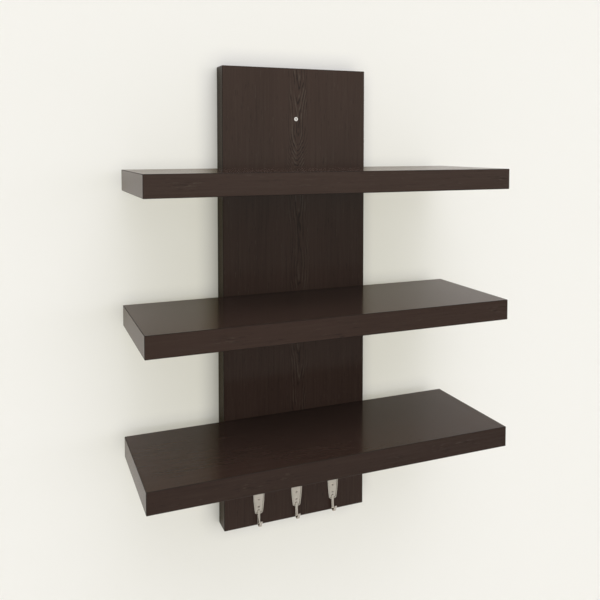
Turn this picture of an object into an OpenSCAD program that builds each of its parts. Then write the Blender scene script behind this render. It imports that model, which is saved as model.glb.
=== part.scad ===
// Wall key holder: a tall backboard with three shelves on its front and three key hooks at its foot.
// The origin is the centre of the backboard's back face, which lies on the wall.
// +Z is up, +X is to the viewer's right and -Y faces the room. Every size is in millimetres.

/* [Backboard] */
// Width of the backboard
board_w = 200; // [180:5:300]
// Height of the backboard
board_h = 600; // [570:5:720]
// Thickness of the backboard
board_t = 25; // [18:1:30]
// Chamfer along the edges of the backboard and the shelves
arris = 0.6; // [0.2:0.1:1.5]

/* [Shelves] */
// Width of each shelf
shelf_w = 450; // [240:5:600]
// Depth of each shelf, from the backboard's front face
shelf_d = 150; // [80:5:220]
// Thickness of each shelf
shelf_t = 25; // [18:1:32]
// Height of the bottom shelf's underside above the backboard's bottom edge
foot_rise = 120.5; // [80:0.5:140]
// Clear height between the bottom and the middle shelf
lower_bay = 136.5; // [100:0.5:150]
// Clear height between the middle and the top shelf
upper_bay = 138.5; // [100:0.5:150]

/* [Shelf fixings] */
// Distance between the two screws of a shelf
shelf_screw_pitch = 150; // [110:2:160]
// Length of a shelf screw
shelf_screw_len = 50; // [40:1:60]
// Diameter of a shelf screw's shank
shelf_screw_d = 5; // [4:0.5:6]
// Diameter of a shelf screw's thread where it bites in the shelf
shelf_thread_d = 4; // [3:0.25:5]
// Diameter of a shelf screw's head
shelf_head_d = 9.5; // [8:0.5:12]
// Distance between the two dowels of a shelf
dowel_pitch = 70; // [40:2:90]
// Diameter of a dowel
dowel_d = 8; // [6:0.5:10]
// Length of a dowel
dowel_len = 30; // [24:1:40]
// Depth to which a dowel stands in the backboard
dowel_bite = 10; // [6:0.5:14]
// Chamfer at the ends of a dowel
dowel_chamfer = 1; // [0.4:0.1:1.5]

/* [Wall screws] */
// Distance of each wall screw from the backboard's nearer end
wall_screw_inset = 66; // [54:1:72]
// Length of a wall screw
wall_screw_len = 60; // [45:1:80]
// Diameter of a wall screw's plain shank
wall_shank_d = 2.6; // [2.4:0.1:3.4]
// Diameter over a wall screw's thread
wall_thread_d = 3; // [2.6:0.1:3.6]
// Diameter of a wall screw's head
wall_head_d = 5.2; // [5:0.1:7]
// Length of plain shank that stands out behind the backboard
wall_shank_out = 2; // [1:0.5:6]

/* [Hook plates] */
// Distance between neighbouring hooks
hook_pitch = 53.4; // [30:0.2:72]
// Height of a plate's top edge above the backboard's bottom edge
plate_top = 43; // [40:0.5:52]
// Height of a plate
plate_h = 27.4; // [26:0.2:32]
// Width of a plate at its top
plate_w = 15.2; // [12:0.2:22]
// Width of a plate at its foot
plate_foot_w = 10; // [8.4:0.2:16]
// Outward bow of a plate's sides
plate_bow = 0.6; // [0:0.1:1]
// Radius of a plate's top corners
plate_corner = 1; // [0.6:0.1:1.6]
// Radius of a plate's foot corners
plate_foot_corner = 3; // [1.6:0.1:3.6]
// Thickness of a plate's floor, between its rims
plate_floor = 1; // [1:0.1:2]
// Height of the rim above the plate's floor
rim_rise = 0.6; // [0.3:0.1:1.2]
// Width of the rim
rim_w = 1; // [0.7:0.1:1.4]

/* [Hook straps] */
// Width of the strap that forms the stem and the finger
strap_w = 3.6; // [2.8:0.1:5]
// Thickness of the strap
strap_t = 1.5; // [1.2:0.1:2.4]
// Radius of the strap's long edges
strap_edge = 0.5; // [0.2:0.05:0.55]
// Depth to which the strap's root is sunk in the plate's floor
strap_sink = 0.7; // [0.3:0.1:0.9]
// Length of the strap's root on the plate
root_len = 5; // [4:0.2:6]
// Height of the bend's underside above the backboard's bottom edge
bend_rise = -0.2; // [-4:0.2:3]
// Radius of the bend, at the strap's centre line
bend_r = 3.6; // [2.8:0.1:6]
// Lean of the finger away from the wall, from upright
finger_lean = 26; // [0:1:50]
// Length of the straight finger, with its round end
finger_len = 9; // [6:0.2:16]

/* [Hook screws] */
// Distance of the upper screw from the plate's top edge
hook_screw_drop = 8.2; // [5:0.2:9]
// Distance between the two screws of a hook
hook_screw_pitch = 9.7; // [8:0.1:11]
// Length of a hook screw
hook_screw_len = 15; // [10:1:16]
// Diameter of a hook screw's thread
hook_screw_d = 2.2; // [1.8:0.1:2.6]
// Diameter of a hook screw's head
hook_head_d = 3.6; // [3.2:0.1:4.4]
// Rise of a hook screw's domed head above its edge
hook_head_dome = 0.5; // [0.2:0.1:0.8]

/* [Clearances] */
// Radial gap round a screw or a dowel in its hole
fit_gap = 0.1; // [0.05:0.05:0.3]
// Depth of a blind hole past the end of its screw or dowel
end_gap = 0.5; // [0.2:0.1:1]
// Depth to which a countersunk head sits below the face round it
head_sink = 0.2; // [0:0.1:0.4]

/* [Hidden] */
$fn = 48;

// How far a cutting solid reaches past the face that it opens
over = 1;
// Height of the straight edge round a screw's head
head_edge = 0.3;
// A screw's cross recess: reach, slot width and depth, as shares of the head's diameter
recess_reach = 0.62;
recess_slot = 0.17;
recess_depth = 0.32;
// Width of the recess at its bottom, as a share of its width at the head's face
recess_taper = 0.4;
// Length of a screw's point and radius of its very tip, in thread diameters
point_ratio = 1.2;
tip_ratio = 0.08;
// Rings along the bend and along each round end of a strap, and points on each of its long edges
bend_steps = 14;
end_steps = 5;
edge_steps = 3;
// Points on each rounded corner and on each bowed side of a plate
corner_steps = 6;
side_steps = 6;

// Faces of the boards, measured along Y
board_front = -board_t;
// Undersides of the shelves, from the bottom one up, above the backboard's bottom edge
shelf_rise = [
    foot_rise,
    foot_rise + shelf_t + lower_bay,
    foot_rise + shelf_t + lower_bay + shelf_t + upper_bay
];
BOTTOM = 0;
MIDDLE = 1;
TOP = 2;
LEFT = -1;
CENTRE = 0;
RIGHT = 1;
// Heights of the wall screws above the backboard's bottom edge
wall_screw_rise = [wall_screw_inset, board_h - wall_screw_inset];
// Heights of a hook's screws above the backboard's bottom edge
hook_screw_rise = [plate_top - hook_screw_drop, plate_top - hook_screw_drop - hook_screw_pitch];
// The strap's centre line, measured out from the backboard's front face
strap_out = plate_floor - strap_sink + strap_t / 2;
// Height of the bend's centre above the backboard's bottom edge
bend_centre_rise = bend_rise + strap_t / 2 + bend_r;
plate_foot = plate_top - plate_h;

// Height in the part's own frame of a place above the backboard's bottom edge
function z_at(rise) = rise - board_h / 2;

// Heights of the middles of a shelf's edge
function shelf_mid(level) = shelf_rise[level] + shelf_t / 2;

// Half the width of a plate at a share of its height, with a parabola for the bowed side
function half_width(share, inset) =
    (plate_foot_w + (plate_w - plate_foot_w) * share) / 2 + plate_bow * 4 * share * (1 - share) - inset;

// Points of a corner's arc, from one angle to another
function corner(centre, radius, from, to) = [
    for (i = [0 : corner_steps])
        let (angle = from + (to - from) * i / corner_steps)
        centre + radius * [cos(angle), sin(angle)]
];

// Right-hand half of a plate's outline, from its foot to its top, brought in by an inset
function right_outline(inset) =
    let (
        foot_r = max(plate_foot_corner - inset, 0.3),
        top_r = max(plate_corner - inset, 0.3),
        low = inset + foot_r,
        high = plate_h - inset - top_r
    )
    concat(
        corner([half_width(low / plate_h, inset) - foot_r, low], foot_r, -90, 0),
        [for (i = [1 : side_steps - 1])
            let (y = low + (high - low) * i / side_steps)
            [half_width(y / plate_h, inset), y]],
        corner([half_width(high / plate_h, inset) - top_r, high], top_r, 0, 90)
    );

// A plate's whole outline, with its foot at y = 0
module plate_outline(inset = 0) {
    right = right_outline(inset);
    last = len(right) - 1;
    polygon(concat(right, [for (i = [0 : last]) [-right[last - i][0], right[last - i][1]]]));
}

// A rectangle with chamfered corners
module chamfered_rectangle(a, b) {
    polygon([
        [arris, 0], [a - arris, 0], [a, arris], [a, b - arris],
        [a - arris, b], [arris, b], [0, b - arris], [0, arris]
    ]);
}

// A board with every edge chamfered, centred on X, its back face at y = 0 and its foot at z = 0
module panel(w, d, h) {
    translate([-w / 2, -d, 0]) intersection() {
        linear_extrude(h) chamfered_rectangle(w, d);
        translate([0, d, 0]) rotate([90, 0, 0]) linear_extrude(d) chamfered_rectangle(w, h);
        rotate([90, 0, 90]) linear_extrude(w) chamfered_rectangle(d, h);
    }
}

// A cross-shaped driver recess that narrows with depth, open at z = 0
module cross_recess(head_d) {
    reach = head_d * recess_reach;
    depth = head_d * recess_depth;
    spread = reach * (1 - recess_taper) / depth;
    intersection() {
        translate([0, 0, -depth]) cylinder(h = depth + over, d1 = reach * recess_taper, d2 = reach + spread * over);
        union() for (turn = [0, 90])
            rotate([0, 0, turn]) translate([-reach, -head_d * recess_slot / 2, -depth])
                cube([2 * reach, head_d * recess_slot, depth + over]);
    }
}

// A countersunk screw with its head's edge at z = 0 and its point below
module screw(head_d, shank_d, thread_d, shank_len, length, dome = 0) {
    neck = head_edge + (head_d - shank_d) / 2;
    dome_r = dome > 0 ? (pow(head_d / 2, 2) + dome * dome) / (2 * dome) : 0;
    difference() {
        union() {
            rotate_extrude() polygon([
                [0, -length],
                [thread_d * tip_ratio, -length],
                [thread_d / 2, -length + thread_d * point_ratio],
                [thread_d / 2, -shank_len],
                [shank_d / 2, -shank_len],
                [shank_d / 2, -neck],
                [head_d / 2, -head_edge],
                [head_d / 2, 0],
                [0, 0]
            ]);
            if (dome > 0) intersection() {
                translate([0, 0, dome - dome_r]) sphere(dome_r);
                translate([0, 0, -head_edge / 2]) cylinder(h = dome + head_edge, d = head_d);
            }
        }
        translate([0, 0, dome]) cross_recess(head_d);
    }
}

// The hole for a countersunk screw: a plain bore with a conical seat at its mouth, at z = 0
module screw_seat(head_d, bore_d, depth) {
    mouth = head_d / 2 + fit_gap;
    bore = bore_d / 2 + fit_gap;
    rotate_extrude() polygon([
        [0, -depth],
        [bore, -depth],
        [bore, -head_edge - (mouth - bore)],
        [mouth, -head_edge],
        [mouth, over],
        [0, over]
    ]);
}

// A plain blind or through hole, open at z = 0
module bore(d, depth) {
    translate([0, 0, -depth]) cylinder(h = depth + over, d = d + 2 * fit_gap);
}

// Turns a screw or a hole that points down so that it points at the wall
module towards_wall() {
    rotate([90, 0, 0]) children();
}

// Turns a screw or a hole that points down so that it points at the room
module towards_room() {
    rotate([-90, 0, 0]) children();
}

// Places a shelf's two fixings of one kind
module at_shelf(level, pitch, y) {
    for (side = [LEFT, RIGHT])
        translate([side * pitch / 2, y, z_at(shelf_mid(level))]) children();
}

// Places a hook's two screws on the backboard's front face
module at_hook_screws(side) {
    for (rise = hook_screw_rise)
        translate([side * hook_pitch, board_front, z_at(rise)]) children();
}

// The hole of a wall screw, right through the backboard
module wall_screw_seat(rise) {
    translate([0, board_front + head_sink, z_at(rise)]) towards_wall()
        screw_seat(wall_head_d, max(wall_shank_d, wall_thread_d), board_t + over);
}

// The holes of a hook's two screws, to a depth behind the backboard's front face
module hook_screw_seats(side, depth) {
    at_hook_screws(side) translate([0, -plate_floor, 0]) towards_wall()
        screw_seat(hook_head_d, hook_screw_d, plate_floor + depth);
}

module backboard() {
    color("#3b312c") difference() {
        translate([0, 0, z_at(0)]) panel(board_w, board_t, board_h);
        for (rise = wall_screw_rise) wall_screw_seat(rise);
        for (level = [BOTTOM, MIDDLE, TOP]) {
            at_shelf(level, shelf_screw_pitch, -head_sink) towards_room()
                screw_seat(shelf_head_d, shelf_screw_d, board_t + over);
            at_shelf(level, dowel_pitch, board_front) towards_wall() bore(dowel_d, dowel_bite + end_gap);
        }
        for (side = [LEFT, CENTRE, RIGHT]) hook_screw_seats(side, hook_screw_len + end_gap);
    }
}

module shelf(level) {
    color("#42362f") difference() {
        translate([0, board_front, z_at(shelf_rise[level])]) panel(shelf_w, shelf_d, shelf_t);
        at_shelf(level, shelf_screw_pitch, board_front) towards_room()
            bore(shelf_thread_d, shelf_screw_len - board_t + end_gap);
        at_shelf(level, dowel_pitch, board_front) towards_room()
            bore(dowel_d, dowel_len - dowel_bite + end_gap);
    }
}

module shelf_screws(level) {
    color("#b9b6ae") at_shelf(level, shelf_screw_pitch, -head_sink) towards_room()
        screw(shelf_head_d, shelf_screw_d, shelf_thread_d, board_t - head_sink, shelf_screw_len - head_sink);
}

module shelf_dowels(level) {
    color("#d8b98a") at_shelf(level, dowel_pitch, board_front + dowel_bite) towards_room()
        rotate_extrude() polygon([
            [0, 0],
            [dowel_d / 2 - dowel_chamfer, 0],
            [dowel_d / 2, -dowel_chamfer],
            [dowel_d / 2, dowel_chamfer - dowel_len],
            [dowel_d / 2 - dowel_chamfer, -dowel_len],
            [0, -dowel_len]
        ]);
}

module wall_screw(rise) {
    color("#d2cfc8") translate([0, board_front + head_sink, z_at(rise)]) towards_wall()
        screw(wall_head_d, wall_shank_d, wall_thread_d, board_t - head_sink + wall_shank_out, wall_screw_len);
}

module hook_screws(side) {
    color("#c9c6bd") at_hook_screws(side) translate([0, -plate_floor, 0]) towards_wall()
        screw(hook_head_d, hook_screw_d, hook_screw_d, plate_floor, hook_screw_len + plate_floor, hook_head_dome);
}

// Outline of the strap's section, counter-clockwise, with its width scaled by a share
function strap_outline(share) = [
    for (k = [0 : 3], j = [0 : edge_steps])
        let (
            angle = 90 * (k + j / edge_steps),
            side_t = (k == 0 || k == 3) ? 1 : -1,
            side_w = k < 2 ? 1 : -1
        )
        [side_t * (strap_t / 2 - strap_edge) + strap_edge * cos(angle),
         share * (side_w * (strap_w / 2 - strap_edge) + strap_edge * sin(angle))]
];

// A station of the strap: how far it is out and up, its heading from straight down, and its width share
function station(out, rise, heading, share) = [out, rise, heading, share];

// Stations of a round end, from its tip inwards: how far each is from the tip, and its width share
function round_end() = [
    for (i = [1 : end_steps])
        let (angle = 90 * i / end_steps)
        [strap_w / 2 * (1 - cos(angle)), sin(angle)]
];

// Stations of the strap from its root on the plate, down the stem, round the bend and up the finger
function strap_stations() =
    let (
        root_rise = plate_foot + root_len,
        turn = 180 - finger_lean,
        bend_out = strap_out + bend_r,
        ends = round_end(),
        finger_out = bend_out - bend_r * cos(turn),
        finger_rise = bend_centre_rise - bend_r * sin(turn)
    )
    concat(
        [for (end = ends) station(strap_out, root_rise - end[0], 0, end[1])],
        [for (i = [0 : bend_steps])
            let (heading = turn * i / bend_steps)
            station(bend_out - bend_r * cos(heading), bend_centre_rise - bend_r * sin(heading), heading, 1)],
        [for (i = [end_steps - 1 : -1 : 0])
            let (along = finger_len - ends[i][0])
            station(finger_out + along * sin(turn), finger_rise - along * cos(turn), turn, ends[i][1])]
    );

// The stem, the bend and the finger as one sweep, with the backboard's front face at y = 0
module strap() {
    stations = strap_stations();
    ring = len(strap_outline(1));
    last = len(stations) - 1;
    points = [
        for (s = stations, p = strap_outline(s[3]))
            [p[1], -(s[0] + p[0] * cos(s[2])), s[1] + p[0] * sin(s[2])]
    ];
    sides = [
        for (i = [0 : last - 1], j = [0 : ring - 1])
            let (here = i * ring + j, beside = i * ring + (j + 1) % ring)
            each [[here, beside, beside + ring], [here, beside + ring, here + ring]]
    ];
    caps = [
        [for (j = [ring - 1 : -1 : 0]) j],
        [for (j = [0 : ring - 1]) last * ring + j]
    ];
    polyhedron(points, concat(sides, caps));
}

// A plate dished to leave a rim round its floor, with its foot at z = 0 and its back at y = 0
module hook_plate() {
    rotate([90, 0, 0]) difference() {
        linear_extrude(plate_floor + rim_rise) plate_outline();
        translate([0, 0, plate_floor]) linear_extrude(rim_rise + over) plate_outline(rim_w);
    }
}

module key_hook(side) {
    color("#b3ad9f") difference() {
        translate([side * hook_pitch, board_front, z_at(0)]) {
            translate([0, 0, plate_foot]) hook_plate();
            strap();
        }
        hook_screw_seats(side, over);
    }
}

module top_shelf() shelf(TOP);
module middle_shelf() shelf(MIDDLE);
module bottom_shelf() shelf(BOTTOM);
module left_key_hook() key_hook(LEFT);
module centre_key_hook() key_hook(CENTRE);
module right_key_hook() key_hook(RIGHT);
module left_hook_screws() hook_screws(LEFT);
module centre_hook_screws() hook_screws(CENTRE);
module right_hook_screws() hook_screws(RIGHT);
module upper_wall_screw() wall_screw(wall_screw_rise[1]);
module lower_wall_screw() wall_screw(wall_screw_rise[0]);
module top_shelf_screws() shelf_screws(TOP);
module middle_shelf_screws() shelf_screws(MIDDLE);
module bottom_shelf_screws() shelf_screws(BOTTOM);
module top_shelf_dowels() shelf_dowels(TOP);
module middle_shelf_dowels() shelf_dowels(MIDDLE);
module bottom_shelf_dowels() shelf_dowels(BOTTOM);

backboard();
top_shelf();
middle_shelf();
bottom_shelf();
left_key_hook();
centre_key_hook();
right_key_hook();
left_hook_screws();
centre_hook_screws();
right_hook_screws();
upper_wall_screw();
lower_wall_screw();
top_shelf_screws();
middle_shelf_screws();
bottom_shelf_screws();
top_shelf_dowels();
middle_shelf_dowels();
bottom_shelf_dowels();
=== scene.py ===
"""Looks of the wall key holder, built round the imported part. Lengths are in metres.

X runs to the viewer's right, Y into the wall and Z up. The backboard's back is the plane y = 0.
"""
import math

import bmesh
import bpy
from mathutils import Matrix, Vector


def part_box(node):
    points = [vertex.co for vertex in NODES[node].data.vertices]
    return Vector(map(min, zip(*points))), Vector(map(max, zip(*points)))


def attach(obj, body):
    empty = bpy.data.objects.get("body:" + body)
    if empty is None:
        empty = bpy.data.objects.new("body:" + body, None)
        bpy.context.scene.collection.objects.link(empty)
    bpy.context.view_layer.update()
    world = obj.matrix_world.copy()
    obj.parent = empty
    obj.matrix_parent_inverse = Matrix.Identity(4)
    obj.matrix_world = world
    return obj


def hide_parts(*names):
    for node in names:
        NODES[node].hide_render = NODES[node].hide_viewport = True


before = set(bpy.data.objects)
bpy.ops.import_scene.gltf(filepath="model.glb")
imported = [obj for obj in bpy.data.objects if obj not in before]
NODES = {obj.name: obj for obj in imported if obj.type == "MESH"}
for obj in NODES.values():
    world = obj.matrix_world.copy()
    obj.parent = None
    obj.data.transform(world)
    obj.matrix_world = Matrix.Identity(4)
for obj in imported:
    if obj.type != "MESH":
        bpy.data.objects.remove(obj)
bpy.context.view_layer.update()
SHELVES = ("top_shelf", "middle_shelf", "bottom_shelf")
HOOKS = ("left_key_hook", "centre_key_hook", "right_key_hook")
WALL_SCREWS = ("upper_wall_screw", "lower_wall_screw")
MM = 0.001

# The camera, fitted to the corners of the boards in the photograph. The angles are in degrees and
# the sensor in millimetres
CAMERA_AT = (-0.3428, -0.8811, 0.1980)
CAMERA_YAW = 22.14
CAMERA_PITCH = 2.73
FOCAL_PIXELS = 701.1
SHIFT_PIXELS = 120
FRAME_PIXELS = 600
SENSOR_WIDTH = 36
CLIP_NEAR = 0.01
CLIP_FAR = 50

# The room round the part. The wall lies WALL_GAP behind the backboard's back, and its opening is
# HOLE_MARGIN smaller than the backboard on every side
FLOOR_Z = -1.15
ROOM = 4.0
FLOOR_REACH = 14.0
WALL_GAP = 0.3 * MM
HOLE_MARGIN = 0.8 * MM
FLOOR_COLOUR = (0.56, 0.55, 0.53)
FLOOR_ROUGHNESS = 0.8
FLOOR_SPECULAR = 0.1

# The wall's paint, the plain painted glow over what is seen of it and the warm painted reflection
# glow over what is mirrored
WALL_COLOUR = (0.885, 0.885, 0.98)
WALL_ROUGHNESS = 0.9
WALL_GRAIN = 900
WALL_RELIEF = 0.05 * MM
WALL_RELIEF_SHARE = 0.15
WALL_GLOW = (0.957, 0.925, 0.68)
WALL_GLOW_SHARE = 0.42
WALL_MIRROR_GLOW = (0.46, 0.36, 0.06)
WALL_MIRROR_GLOW_SHARE = 0.34
# Painted contact shade: where something is within this reach of the wall both glows fade, the warm
# mirrored one by this power, and the warm one covers up to this much more of the paint
CONTACT_REACH = 30 * MM
MIRROR_GLOW_FADE = 2.3
CONTACT_COVER = 0.8

# The dome. Each soft light has its direction, its strength and two powers: how closely it keeps to
# the horizon and how narrow it is
BACKDROP = (0.92, 0.91, 0.885)
SOFT_LIGHTS = (((0.17, -0.98, 0.0), 2.5, 8.0, 2.0),
               ((0.0, -0.50, 0.866), 3.6, 0.0, 8.0),
               ((-0.30, 0.92, 0.25), 2.4, 0.0, 8.0))
LIGHT_COLOUR = (1.0, 0.998, 0.992)
# Its low level all round goes from the first to the second value between these two heights
DOME_COLOUR = (1.0, 0.975, 0.90)
DOME_LEVEL = (0.05, 0.08)
DOME_HEIGHTS = (-0.6, 0.9)

OCCLUSION_SAMPLES = 8


class Graph:
    """A node tree with short calls for the nodes that the materials use."""

    def __init__(self, tree):
        self.tree = tree
        tree.nodes.clear()

    def add(self, kind, inputs=None, **settings):
        node = self.tree.nodes.new(kind)
        for name, value in settings.items():
            setattr(node, name, value)
        for name, value in (inputs or {}).items():
            self.feed(node.inputs[name], value)
        return node

    def feed(self, socket, value):
        if isinstance(value, bpy.types.NodeSocket):
            self.tree.links.new(value, socket)
        elif value is not None:
            socket.default_value = value

    def math(self, operation, *values):
        node = self.add("ShaderNodeMath", operation=operation)
        for socket, value in zip(node.inputs, values):
            self.feed(socket, value)
        return node.outputs[0]

    def times(self, a, b):
        return self.math("MULTIPLY", a, b)

    def combine(self, x, y, z):
        return self.add("ShaderNodeCombineXYZ", {"X": x, "Y": y, "Z": z}).outputs[0]

    def separate(self, vector):
        return self.add("ShaderNodeSeparateXYZ", {"Vector": vector}).outputs

    def place(self):
        """The place on the object, as one vector."""
        return self.add("ShaderNodeTexCoord").outputs["Object"]

    def pick(self, share, a, b):
        """Number a where share is 0 and b where it is 1."""
        return self.math("ADD", self.times(a, self.math("SUBTRACT", 1, share)),
                         self.times(b, share))

    def noise(self, vector, scale, detail, roughness=0.5):
        node = self.add("ShaderNodeTexNoise", {
            "Vector": vector, "Scale": scale, "Detail": detail, "Roughness": roughness})
        return node.outputs["Fac"]

    def remap(self, value, low, high, to_low=0.0, to_high=1.0, smooth=True):
        node = self.add("ShaderNodeMapRange", {
            "Value": value, "From Min": low, "From Max": high, "To Min": to_low, "To Max": to_high},
            interpolation_type="SMOOTHSTEP" if smooth else "LINEAR")
        return node.outputs[0]

    def mix(self, share, a, b):
        """Colour a where share is 0 and b where it is 1."""
        node = self.add("ShaderNodeMix", data_type="RGBA")
        self.feed(node.inputs[0], share)
        for socket, value in ((node.inputs[6], a), (node.inputs[7], b)):
            self.feed(socket, (*value, 1) if isinstance(value, tuple) else value)
        return node.outputs[2]

    def bump(self, height, distance, strength):
        return self.add("ShaderNodeBump", {
            "Height": height, "Distance": distance, "Strength": strength}).outputs[0]

    def openness(self, reach):
        """1 in the open, and lower where something is within reach."""
        return self.add("ShaderNodeAmbientOcclusion", {"Distance": reach},
                        samples=OCCLUSION_SAMPLES).outputs["AO"]

    def blend(self, share, a, b):
        """Shader a where share is 0 and b where it is 1."""
        node = self.add("ShaderNodeMixShader", {"Fac": share})
        self.feed(node.inputs[1], a)
        self.feed(node.inputs[2], b)
        return node.outputs[0]

    def shown(self, share=1.0, mirrored=1.0):
        """share for what is seen or looked through at, mirrored for what is mirrored, and 0 for
        light on its way."""
        path = self.add("ShaderNodeLightPath").outputs
        seen = self.math("MAXIMUM", path["Is Camera Ray"], path["Is Transmission Ray"])
        return self.math("MAXIMUM", self.times(seen, share),
                         self.times(path["Is Glossy Ray"], mirrored))

    def finish(self, shader, kind="ShaderNodeOutputMaterial"):
        self.add(kind, {"Surface": shader})


def material(name):
    made = bpy.data.materials.new(name)
    made.use_nodes = True
    return made, Graph(made.node_tree)


def principled(graph, colour, roughness, normal=None, **constants):
    inputs = {"Base Color": colour, "Roughness": roughness, "Normal": normal}
    inputs.update({name.replace("_", " "): value for name, value in constants.items()})
    return graph.add("ShaderNodeBsdfPrincipled", inputs).outputs[0]


def dress(node, made):
    """Gives a CAD node's every material slot one material."""
    for slot in NODES[node].material_slots:
        slot.material = made


# Colours of the laminate, as linear shares
GROUND_DARK = (0.0396, 0.0232, 0.0179)
GROUND_LIGHT = (0.0449, 0.0264, 0.0203)
ASH = (0.076, 0.058, 0.045)
PORE = (0.006, 0.004, 0.0035)

# How much of ASH or PORE goes over the ground: in the streaks and marks, the lines of the figured
# strip, the arrises, the backboard's long edges (partly a darker edge band, partly painted shade)
# and the shelves' front edges from the top one down (painted shade, darker on the lower shelves)
STREAK_ASH = 0.16
STREAK_PORE = 0.22
MARK_ASH = 0.36
MARK_PORE = 0.38
LINE_ASH = 0.9
LINE_PORE = 0.75
ARRIS_PORE = 0.75
LONG_EDGE_BAND_AND_SHADE = 0.6
FRONT_SHADE_BANDS = (0.10, 0.17, 0.27)

# The laminate's sheen and relief. The broad faces of a shelf are smoother than the rest
LAMINATE_ROUGHNESS = 0.14
ARRIS_ROUGHNESS = 0.58
ROUGHNESS_SPREAD = 0.06
LAMINATE_SPECULAR = 0.19
SHEEN_TINT = (1.0, 0.97, 0.88, 1)
LAMINATE_RELIEF = 0.02 * MM
RELIEF_SHARE = 0.35
BROAD_RELIEF_SHARE = 0.06
STREAK_HEIGHT = 0.4
LINE_DEPTH = 0.6

# Patterns of grain: marks a metre along and across it, a shift of its own, and the noise's detail
# and roughness. On the broad faces of a shelf the streaks have BROAD_STREAKS across
GRAIN = {
    "wander": (9, 2, 5.0, 2.0, 0.5),
    "rise": (11, 0.5, 9.0, 1.0, 0.5),
    "jitter": (60, 400, 2.0, 2.0, 0.5),
    "light_breaks": (30, 230, 12.0, 2.0, 0.5),
    "dark_breaks": (40, 300, 18.0, 1.0, 0.5),
    "patches": (12, 3, 14.0, 1.0, 0.5),
    "light_dashes": (95, 620, 12.0, 1.0, 0.5),
    "dark_dashes": (70, 620, 18.0, 1.0, 0.5),
    "tone": (2.2, 16, 1.0, 3.0, 0.5),
    "streaks": (14, 420, 3.0, 3.0, 0.6),
    "pores": (70, 760, 4.0, 1.0, 0.5),
    "ash": (75, 640, 6.0, 1.0, 0.5),
    "polish": (90, 900, 8.0, 2.0, 0.5),
}
BROAD_STREAKS = 150
# Between these two levels of its noise a mark comes up
LEVELS = {
    "light_breaks": (0.45, 0.60),
    "dark_breaks": (0.34, 0.52),
    "patches": (0.50, 0.60),
    "light_dashes": (0.58, 0.70),
    "dark_dashes": (0.58, 0.70),
    "tone": (0.3, 0.7),
    "pores": (0.68, 0.76),
    "ash": (0.69, 0.77),
}
STREAK_LIGHT_LEVELS = (0.45, 0.75)
STREAK_DARK_LEVELS = (0.45, 0.25)

# A face looks along an axis when its normal has more than this share there, and an arris doesn't.
# The pattern shifts by these amounts on faces that look along X and along Y
FACING = 0.71
FACE_SHIFTS = (3.1, 7.7)

# The figured strip: where its middle lies across the grain and its half width, on the backboard and
# on a shelf, how far it wanders and the share of its half width where it is full
BOARD_STRIP = (4 * MM, 17 * MM)
SHELF_STRIP_HALF = 6 * MM
STRIP_WANDER = 12 * MM
STRIP_FULL = 0.45
SHELF_STRIP_SHARE = 0.6
# It is fainter below the first of these heights, down to the last value, than above the second
STRIP_FAINT = (0.08, 0.16, 0.65)

# Its arches: how much they rise along the grain, by how much that varies, and where they rise by
# more, between two heights. Then how round their heads are, how many lie side by side in a metre,
# and how ragged their lines are
ARCH_RISE = 0.045
ARCH_VARIES = 0.018
ARCH_STEPS = ((0.148, 0.222, 0.026), (0.215, 0.320, 0.004))
ARCH_HEAD = 2.5 * MM
ARCHES_A_METRE = 290
ARCH_JITTER = 0.9
# Where in each arch its two lines lie, and how far from there they are full and gone
LIGHT_LINE = (0.42, 0.04, 0.20)
DARK_LINE = (0.80, 0.03, 0.18)

SHELF_SEED = 20.0
SEED_STEP = 11


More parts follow.
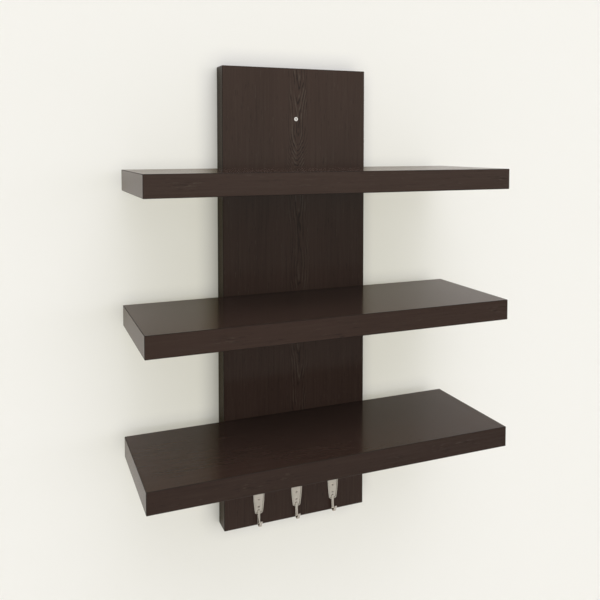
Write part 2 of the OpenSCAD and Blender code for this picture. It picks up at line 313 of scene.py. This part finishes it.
def laminate(name, upright, centre, strip_width, seed, front_shade=0.0):
    """Dark wenge laminate. Its grain runs along Z on an upright board and along X on a shelf, and
    along each end face. centre is where the figured strip's middle lies across the grain, and
    strip_width is the strip's half width. The last argument is how much painted shade darkens a
    shelf's front face."""
    made, g = material(name)
    x, y, z = g.separate(g.place())
    facing = g.separate(g.add("ShaderNodeNewGeometry").outputs["True Normal"])
    end_x, end_y, end_z = (g.math("GREATER_THAN", g.math("ABSOLUTE", f), FACING) for f in facing)
    arris = g.math("SUBTRACT", 1, g.math("ADD", g.math("ADD", end_x, end_y), end_z))
    if upright:
        along = g.pick(end_z, z, x)
        across = g.pick(end_z, g.pick(end_x, x, y), y)
    else:
        along = g.pick(end_x, x, y)
        across = g.pick(end_z, z, y)
    face = g.math("ADD", g.times(end_x, FACE_SHIFTS[0]), g.times(end_y, FACE_SHIFTS[1]))
    face = g.math("ADD", face, seed)

    def grain(pattern, across_scale=None):
        along_scale, own_across, shift, detail, roughness = GRAIN[pattern]
        across_scale = own_across if across_scale is None else across_scale
        return g.noise(g.combine(g.times(along, along_scale), g.times(across, across_scale),
                                 g.math("ADD", face, shift)), 1.0, detail, roughness)

    def marks(pattern):
        return g.remap(grain(pattern), *LEVELS[pattern])

    def line(wave, middle, full, gone):
        return g.remap(g.math("ABSOLUTE", g.math("SUBTRACT", wave, middle)), full, gone, 1.0, 0.0)

    wander = g.times(g.math("SUBTRACT", grain("wander"), 0.5), STRIP_WANDER)
    off = g.math("ADD", g.math("SUBTRACT", across, centre), wander)
    strip = g.remap(g.math("ABSOLUTE", off), strip_width * STRIP_FULL, strip_width, 1.0, 0.0)
    if upright:
        # Nested arches that open along the grain, short where ARCH_STEPS adds to their rise and
        # drawn out elsewhere
        rise = g.math("ADD", g.times(along, ARCH_RISE), g.times(grain("rise"), ARCH_VARIES))
        for low, high, more in ARCH_STEPS:
            rise = g.math("ADD", rise, g.remap(along, low, high, 0.0, more))
        arch = g.math("SQRT", g.math("ADD", g.times(off, off), ARCH_HEAD ** 2))
        phase = g.math("ADD", g.times(g.math("SUBTRACT", arch, rise), ARCHES_A_METRE),
                       g.times(grain("jitter"), ARCH_JITTER))
        wave = g.math("FRACT", phase)
        low, high, faint = STRIP_FAINT
        strip = g.times(strip, g.remap(along, low, high, faint, 1.0))
        light_line = g.times(line(wave, *LIGHT_LINE), marks("light_breaks"))
        dark_line = g.times(line(wave, *DARK_LINE), marks("dark_breaks"))
    else:
        # A shelf's edges only show short dashes, here and there along their middle
        patch = g.times(marks("patches"), g.math("SUBTRACT", 1, end_z))
        strip = g.times(g.times(strip, patch), SHELF_STRIP_SHARE)
        light_line = marks("light_dashes")
        dark_line = marks("dark_dashes")
    light_line = g.times(light_line, strip)
    dark_line = g.times(dark_line, strip)

    # A calm ground with faint streaks, and sparse short marks
    streak = grain("streaks", None if upright else
                   g.pick(end_z, GRAIN["streaks"][1], BROAD_STREAKS))
    pores = marks("pores")
    colour = g.mix(marks("tone"), GROUND_DARK, GROUND_LIGHT)
    colour = g.mix(g.remap(streak, *STREAK_LIGHT_LEVELS, 0.0, STREAK_ASH), colour, ASH)
    colour = g.mix(g.remap(streak, *STREAK_DARK_LEVELS, 0.0, STREAK_PORE), colour, PORE)
    colour = g.mix(g.times(marks("ash"), MARK_ASH), colour, ASH)
    colour = g.mix(g.times(light_line, LINE_ASH), colour, ASH)
    colour = g.mix(g.times(dark_line, LINE_PORE), colour, PORE)
    colour = g.mix(g.times(pores, MARK_PORE), colour, PORE)
    colour = g.mix(g.times(arris, ARRIS_PORE), colour, PORE)
    if upright:
        # A darker edge band and painted shade on the backboard's long side faces
        colour = g.mix(g.times(end_x, LONG_EDGE_BAND_AND_SHADE), colour, PORE)
    else:
        # Painted shade on a shelf's front face, darker on the lower shelves
        colour = g.mix(g.times(end_y, front_shade), colour, PORE)

    roughness = g.math("ADD", g.pick(arris, LAMINATE_ROUGHNESS, ARRIS_ROUGHNESS),
                       g.times(g.math("SUBTRACT", grain("polish"), 0.5), ROUGHNESS_SPREAD))
    height = g.math("SUBTRACT", g.times(streak, STREAK_HEIGHT), pores)
    height = g.math("SUBTRACT", height, g.times(dark_line, LINE_DEPTH))
    normal = g.bump(height, LAMINATE_RELIEF, RELIEF_SHARE if upright else
                    g.pick(end_z, RELIEF_SHARE, BROAD_RELIEF_SHARE))
    g.finish(principled(g, colour, roughness, normal, Specular_IOR_Level=LAMINATE_SPECULAR,
                        Specular_Tint=SHEEN_TINT))
    return made


# Painted shade: metal darkens towards this shade colour in its crevices and up to this far round
# them, fully where its openness is at the first of these levels and not at all from the second
CREVICE_SHADE_REACH = 1.5 * MM
CREVICE_SHADE = (0.12, 0.105, 0.085)
CREVICE_SHADE_LEVELS = (0.55, 0.97)
# The fine grain and the broad blotches, in marks a metre, and the grain's share of the tone
METAL_GRAIN = 2600.0
METAL_BLOTCHES = 90
GRAIN_SHARE = 0.12
TONE_LEVELS = (0.3, 0.7)
METAL_ROUGHNESS_SPREAD = 0.08
METAL_RELIEF = 0.002 * MM
METAL_RELIEF_SHARE = 0.3
# How the grain is drawn out along each axis
EVEN = (1, 1, 1)
BRUSHED_UP = (1, 1, 0.06)


def satin_metal(name, light, dark, roughness, stretch=EVEN, crevice_shade_strength=0.75):
    """A plated metal with a soft grain, faint blotches of tone and painted crevice shade this
    strong.
    """
    made, g = material(name)
    place = g.place()
    fibre = g.noise(g.combine(*(g.times(c, s * METAL_GRAIN)
                                for c, s in zip(g.separate(place), stretch))), 1.0, 3.0, 0.6)
    blotch = g.noise(place, METAL_BLOTCHES, 2.0)
    tone = g.math("ADD", g.times(fibre, GRAIN_SHARE), g.times(blotch, 1 - GRAIN_SHARE))
    colour = g.mix(g.remap(tone, *TONE_LEVELS), dark, light)
    # Painted shade in the crevices, where the openness is low
    crevice_shade_share = g.remap(g.openness(CREVICE_SHADE_REACH), *CREVICE_SHADE_LEVELS, crevice_shade_strength, 0.0, smooth=False)
    colour = g.mix(crevice_shade_share, colour, CREVICE_SHADE)
    rough = g.math("ADD", roughness,
                   g.times(g.math("SUBTRACT", blotch, 0.5), METAL_ROUGHNESS_SPREAD))
    normal = g.bump(fibre, METAL_RELIEF, METAL_RELIEF_SHARE)
    g.finish(principled(g, colour, rough, normal, Metallic=1.0))
    return made


# Beech: its two colours, its rays in marks a metre across and along the dowel, and its relief
BEECH_LIGHT = (0.60, 0.41, 0.22)
BEECH_DARK = (0.40, 0.25, 0.12)
RAYS_ACROSS = 1500
RAYS_ALONG = 160
RAY_LEVELS = (0.35, 0.7)
BEECH_ROUGHNESS = 0.62
BEECH_RELIEF = 0.03 * MM
BEECH_RELIEF_SHARE = 0.6


def beech(name):
    """Plain turned beech with short rays along the dowel."""
    made, g = material(name)
    x, y, z = g.separate(g.place())
    fleck = g.noise(g.combine(g.times(x, RAYS_ACROSS), g.times(y, RAYS_ALONG),
                              g.times(z, RAYS_ACROSS)), 1.0, 3.0)
    colour = g.mix(g.remap(fleck, *RAY_LEVELS), BEECH_LIGHT, BEECH_DARK)
    normal = g.bump(fleck, BEECH_RELIEF, BEECH_RELIEF_SHARE)
    g.finish(principled(g, colour, BEECH_ROUGHNESS, normal))
    return made


# The thread of a wall screw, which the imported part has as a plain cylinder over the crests. It
# comes up over THREAD_FADE. A ridge takes RIDGE_SHARE of the pitch, and its power makes it sharper
THREAD_FROM = 1.9 * MM
THREAD_PITCH = 1.3 * MM
THREAD_FADE = 1.5 * MM
THREAD_CORE = 1.0 * MM
THREAD_CREST = 1.5 * MM
RINGS_A_TURN = 12
RIDGE_SHARE = 0.6
RIDGE_POWER = 1.5
POINT_LENGTH = 3.6 * MM
POINT_TIP = 0.24 * MM
WELD = 0.001 * MM
# Edges that turn by more degrees than this stay sharp
SHARP_ANGLE = 32


def threaded(node, made):
    """A wall screw with its thread cut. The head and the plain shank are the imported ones."""
    low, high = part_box(node)
    mid_x, mid_z, tip = (low[0] + high[0]) / 2, (low[2] + high[2]) / 2, high[1]
    mesh = NODES[node].data.copy()
    bm = bmesh.new()
    bm.from_mesh(mesh)
    bmesh.ops.remove_doubles(bm, verts=bm.verts, dist=WELD)
    cut = bmesh.ops.bisect_plane(bm, geom=bm.verts[:] + bm.edges[:] + bm.faces[:], dist=WELD,
                                 plane_co=(0, THREAD_FROM, 0), plane_no=(0, 1, 0),
                                 clear_outer=True)
    ring = [part for part in cut["geom_cut"] if isinstance(part, bmesh.types.BMVert)]

    def turn(vert):
        return math.atan2(vert.co.x - mid_x, vert.co.z - mid_z)

    ring.sort(key=turn)
    turns = [turn(vert) for vert in ring]
    shank = max(math.hypot(vert.co.x - mid_x, vert.co.z - mid_z) for vert in ring)
    count = round((tip - THREAD_FROM) / THREAD_PITCH * RINGS_A_TURN)
    for step in range(1, count + 1):
        y = THREAD_FROM + (tip - THREAD_FROM) * step / count
        begun = min((y - THREAD_FROM) / THREAD_FADE, 1.0)
        limit = POINT_TIP + (THREAD_CREST - POINT_TIP) * min((tip - y) / POINT_LENGTH, 1.0)
        core = min(shank + (THREAD_CORE - shank) * begun, limit * THREAD_CORE / THREAD_CREST)
        fresh = []
        for angle in turns:
            phase = ((y - THREAD_FROM) / THREAD_PITCH - angle / math.tau) % 1.0
            ridge = max(math.cos(math.pi * (phase - 0.5) / RIDGE_SHARE), 0.0) ** RIDGE_POWER
            radius = core + (limit - core) * ridge * begun if step < count else POINT_TIP
            fresh.append(bm.verts.new((mid_x + radius * math.sin(angle), y,
                                       mid_z + radius * math.cos(angle))))
        for k in range(len(ring)):
            n = (k + 1) % len(ring)
            bm.faces.new((ring[k], ring[n], fresh[n], fresh[k]))
        ring = fresh
    bm.faces.new(ring)
    bmesh.ops.recalc_face_normals(bm, faces=bm.faces)
    for edge in bm.edges:
        edge.smooth = edge.calc_face_angle(0.0) < math.radians(SHARP_ANGLE)
    for face in bm.faces:
        face.smooth = True
        face.material_index = 0
    bm.to_mesh(mesh)
    bm.free()
    # The copied normals don't fit the new faces
    mesh.attributes.remove(mesh.attributes["custom_normal"])
    mesh.materials.clear()
    mesh.materials.append(made)
    screw = bpy.data.objects.new(node + "_threaded", mesh)
    bpy.context.scene.collection.objects.link(screw)
    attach(screw, "root")
    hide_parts(node)


def mesh_object(name, points, faces):
    mesh = bpy.data.meshes.new(name)
    mesh.from_pydata(points, [], faces)
    mesh.update()
    made = bpy.data.objects.new(name, mesh)
    bpy.context.scene.collection.objects.link(made)
    return made


def wall():
    """A plain wall, seen from the room only, with an opening behind the backboard. What is seen of
    it is partly a plain painted glow, which softens its shadows as in the photograph, and what is
    mirrored of it partly a warm painted reflection glow; both fade to painted shade near the part."""
    low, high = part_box("backboard")
    outer = (-ROOM, FLOOR_Z, ROOM, ROOM)
    opening = (low[0] + HOLE_MARGIN, low[2] + HOLE_MARGIN,
               high[0] - HOLE_MARGIN, high[2] - HOLE_MARGIN)
    corners = [(edges[i], WALL_GAP, edges[j]) for edges in (outer, opening)
               for i, j in ((0, 1), (2, 1), (2, 3), (0, 3))]
    sides = [(k, (k + 1) % 4, (k + 1) % 4 + 4, k + 4) for k in range(4)]
    made = mesh_object("wall", corners, sides)
    look, g = material("wall_paint")
    grain = g.noise(g.place(), WALL_GRAIN, 2.0)
    paint = principled(g, (*WALL_COLOUR, 1), WALL_ROUGHNESS,
                       g.bump(grain, WALL_RELIEF, WALL_RELIEF_SHARE), Specular_IOR_Level=0.0)
    contact = g.openness(CONTACT_REACH)
    mirror_glow_strength = g.math("POWER", contact, MIRROR_GLOW_FADE)
    cover = g.math("ADD", WALL_MIRROR_GLOW_SHARE,
                   g.times(g.math("SUBTRACT", 1, contact), CONTACT_COVER))
    # The glows are painted light over the paint, and their fade near the part is painted contact
    # shade
    for colour, strength, share in ((WALL_GLOW, contact, g.shown(WALL_GLOW_SHARE, 0.0)),
                                    (WALL_MIRROR_GLOW, mirror_glow_strength, g.shown(0.0, cover))):
        glow = g.add("ShaderNodeEmission", {"Color": (*colour, 1), "Strength": strength})
        paint = g.blend(share, paint, glow.outputs[0])
    behind = g.add("ShaderNodeNewGeometry").outputs["Backfacing"]
    g.finish(g.blend(behind, paint, g.add("ShaderNodeBsdfTransparent").outputs[0]))
    made.data.materials.append(look)


def floor():
    made = mesh_object("floor", [(i * FLOOR_REACH, j * FLOOR_REACH, FLOOR_Z)
                                 for i, j in ((-1, -1), (1, -1), (1, 1), (-1, 1))], [(0, 1, 2, 3)])
    look, g = material("floor_paint")
    g.finish(principled(g, (*FLOOR_COLOUR, 1), FLOOR_ROUGHNESS,
                        Specular_IOR_Level=FLOOR_SPECULAR))
    made.data.materials.append(look)


def background(g, colour, strength):
    made = g.add("ShaderNodeBackground", {"Color": (*colour, 1), "Strength": strength})
    return made.outputs[0]


def studio_light():
    """A pale dome: plain where it is seen or mirrored, and otherwise a warm low level all round
    with broad soft lights in front, above the front and behind."""
    world = bpy.data.worlds.new("studio")
    world.use_nodes = True
    g = Graph(world.node_tree)
    place = g.add("ShaderNodeTexCoord").outputs["Generated"]
    up = g.separate(place)[2]
    level_share = g.math("SUBTRACT", 1, g.times(up, up))
    level = 0.0
    for towards, strength, flat, focus in SOFT_LIGHTS:
        near = g.add("ShaderNodeVectorMath", operation="DOT_PRODUCT")
        g.feed(near.inputs[0], place)
        near.inputs[1].default_value = Vector(towards).normalized()
        lobe = g.math("POWER", g.math("MAXIMUM", near.outputs["Value"], 0.0), focus)
        lobe = g.times(lobe, g.math("POWER", level_share, flat))
        level = g.math("ADD", level, g.times(lobe, strength))
    lit = g.add("ShaderNodeAddShader")
    g.feed(lit.inputs[0], background(g, LIGHT_COLOUR, level))
    g.feed(lit.inputs[1], background(g, DOME_COLOUR, g.remap(up, *DOME_HEIGHTS, *DOME_LEVEL)))
    plain = background(g, BACKDROP, 1.0)
    g.finish(g.blend(g.shown(), lit.outputs[0], plain), "ShaderNodeOutputWorld")
    bpy.context.scene.world = world


def camera():
    data = bpy.data.cameras.new("camera")
    data.sensor_fit, data.sensor_width = "HORIZONTAL", SENSOR_WIDTH
    data.lens = FOCAL_PIXELS * SENSOR_WIDTH / FRAME_PIXELS
    data.shift_y = -SHIFT_PIXELS / FRAME_PIXELS
    data.clip_start, data.clip_end = CLIP_NEAR, CLIP_FAR
    made = bpy.data.objects.new("camera", data)
    made.location = CAMERA_AT
    made.rotation_euler = (math.radians(90 - CAMERA_PITCH), 0, -math.radians(CAMERA_YAW))
    bpy.context.scene.collection.objects.link(made)
    bpy.context.scene.camera = made


dress("backboard", laminate("wenge_backboard", True, *BOARD_STRIP, 0.0))
for number, shelf in enumerate(SHELVES):
    low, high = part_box(shelf)
    dress(shelf, laminate("wenge_" + shelf, False, (low[2] + high[2]) / 2, SHELF_STRIP_HALF,
                          SHELF_SEED + SEED_STEP * number, FRONT_SHADE_BANDS[number]))
# Each metal's light and dark tone, roughness, grain and dullness
nickel = satin_metal("satin_nickel", (0.75, 0.70, 0.61), (0.69, 0.645, 0.56), 0.18, BRUSHED_UP)
hook_steel = satin_metal("hook_screw_steel", (0.74, 0.69, 0.60), (0.68, 0.63, 0.55), 0.22)
bright = satin_metal("bright_steel", (0.90, 0.88, 0.84), (0.83, 0.81, 0.77), 0.26, EVEN, 0.35)
zinc = satin_metal("zinc_steel", (0.72, 0.72, 0.70), (0.58, 0.58, 0.57), 0.34)
dowel_wood = beech("beech_dowel")
for hook in HOOKS:
    dress(hook, nickel)
    dress(hook.replace("key_hook", "hook_screws"), hook_steel)
for screw in WALL_SCREWS:
    threaded(screw, bright)
for shelf in SHELVES:
    dress(shelf + "_screws", zinc)
    dress(shelf + "_dowels", dowel_wood)

wall()
floor()
studio_light()
camera()
bpy.context.scene.view_settings.view_transform = "Standard"
